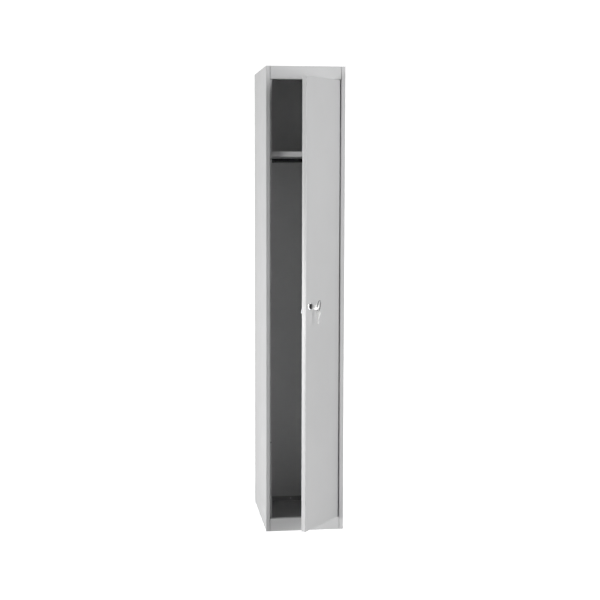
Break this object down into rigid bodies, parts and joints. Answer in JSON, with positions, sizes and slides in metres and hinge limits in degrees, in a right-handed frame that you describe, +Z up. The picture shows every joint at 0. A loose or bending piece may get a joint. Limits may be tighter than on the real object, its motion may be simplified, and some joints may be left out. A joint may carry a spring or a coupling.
{
  "type": "locker cabinet",
  "caption": "Tall narrow sheet-steel clothes locker with a hinged door standing open, a hat shelf, a coat rail, a cam lock and keys.",
  "frame": {"origin": "centre of the footprint, on the underside of the floor panel, level with the surface that the locker stands on", "axes": "+Z up, +X to the right as a person faces the door, +Y from the front to the back"},
  "size_m": [0.305, 0.6621, 1.802],
  "materials": {
    "grey_powder_coat": "fine-textured light grey powder coat, semi-matt",
    "zinc_plate": "bright zinc plate",
    "black_enamel": "black enamel on steel tube, satin",
    "black_plastic": "black moulded nylon",
    "buffer_rubber": "grey rubber",
    "white_nylon": "natural nylon",
    "bright_chrome": "bright chrome plate",
    "black_lock_finish": "black lacquered zinc die casting, glossy",
    "lock_plug_metal": "dark nickel, turned face",
    "nickel_key": "bright nickel-plated brass",
    "ring_steel": "dark spring steel wire"
  },
  "bodies": {
    "carcase": {"left_side_panel": "grey_powder_coat", "right_side_panel": "grey_powder_coat", "back_panel": "grey_powder_coat", "top_panel": "grey_powder_coat", "floor_panel": "grey_powder_coat", "back_rivets": "zinc_plate", "header_rail": "grey_powder_coat", "plinth_rail": "grey_powder_coat", "hat_shelf": "grey_powder_coat", "left_shelf_clips": "grey_powder_coat", "right_shelf_clips": "grey_powder_coat", "shelf_screws": "zinc_plate", "shelf_nuts": "zinc_plate", "coat_rail": "black_enamel", "left_rail_socket": "black_plastic", "right_rail_socket": "black_plastic", "rail_socket_screws": "zinc_plate", "lock_keeper": "zinc_plate", "keeper_rivets": "grey_powder_coat", "door_buffers": "buffer_rubber", "lower_pivot_pin": "zinc_plate", "upper_pivot_pin": "zinc_plate", "thrust_washer": "white_nylon"},
    "door": {"door_panel": "grey_powder_coat", "door_stiffener": "grey_powder_coat", "upper_pivot_bush": "white_nylon", "lower_pivot_bush": "white_nylon", "lock_bezel": "bright_chrome", "lock_body": "black_lock_finish", "lock_nut": "zinc_plate"},
    "lock_core": {"lock_plug": "lock_plug_metal", "lock_cam": "zinc_plate", "cam_screw": "zinc_plate"},
    "lock_key": {"key": "nickel_key"},
    "ring": {"key_ring": "ring_steel"},
    "spare": {"spare_key": "nickel_key"}
  },
  "joints": [
    {"name": "door_hinge", "type": "hinge", "parent": "carcase", "child": "door", "pos_m": [0.1245, -0.2205, 0.9], "axis": [0, 0, 1], "range_deg": [-53, 52]},
    {"name": "lock_turn", "type": "hinge", "parent": "door", "child": "lock_core", "pos_m": [-0.00693, -0.4082, 0.905], "axis": [0.7986, -0.6018, 0], "range_deg": [-61, 29]},
    {"name": "key_pull", "type": "slide", "parent": "lock_core", "child": "lock_key", "axis": [0.7986, -0.6018, 0], "range_m": [0, 0.03]},
    {"name": "ring_rock", "type": "hinge", "parent": "lock_key", "child": "ring", "pos_m": [0.01783, -0.42686, 0.905], "axis": [0.5264, 0.6985, -0.4848], "range_deg": [-10, 10]},
    {"name": "spare_swing", "type": "hinge", "parent": "ring", "child": "spare", "pos_m": [0.02407, -0.4072, 0.88612], "axis": [-0.4226, -0.9063, 0], "range_deg": [-20, 60]}
  ]
}
